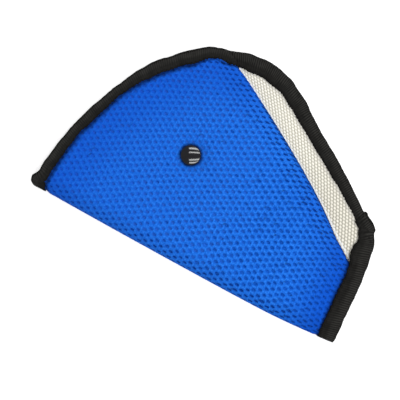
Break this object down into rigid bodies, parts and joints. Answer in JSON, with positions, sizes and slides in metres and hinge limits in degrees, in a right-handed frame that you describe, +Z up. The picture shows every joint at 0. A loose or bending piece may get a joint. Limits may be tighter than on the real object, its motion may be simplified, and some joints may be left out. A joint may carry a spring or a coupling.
{
  "type": "seat belt shoulder pad",
  "caption": "Flat triangular folded pad of lined air mesh with a bound edge and a press stud; it holds lap and shoulder belt together to lower the shoulder belt on a child.",
  "frame": {"origin": "middle of the pad's footprint, on the surface that it lies on", "axes": "+X along the long folded edge towards the short bound edge; +Y from the fold towards the curved tip; +Z up, through the pad's thickness"},
  "size_m": [0.249, 0.1622, 0.0115],
  "materials": {
    "air_mesh": "blue knitted air mesh with staggered oval holes",
    "lining_cloth": "beige textured woven lining, matt",
    "binding_tape": "near-black ribbed woven tape, matt",
    "cap_plastic": "glossy black dome",
    "stud_metal": "bright plated metal",
    "post_metal": "black painted metal"
  },
  "bodies": {
    "root": {"mesh_shell": "air_mesh", "lining": "lining_cloth", "long_binding": "binding_tape", "short_edge_binding": "binding_tape", "snap_cap": "cap_plastic", "snap_socket": "stud_metal", "snap_spring": "stud_metal", "snap_stud": "stud_metal", "snap_post": "post_metal"}
  },
  "joints": []
}
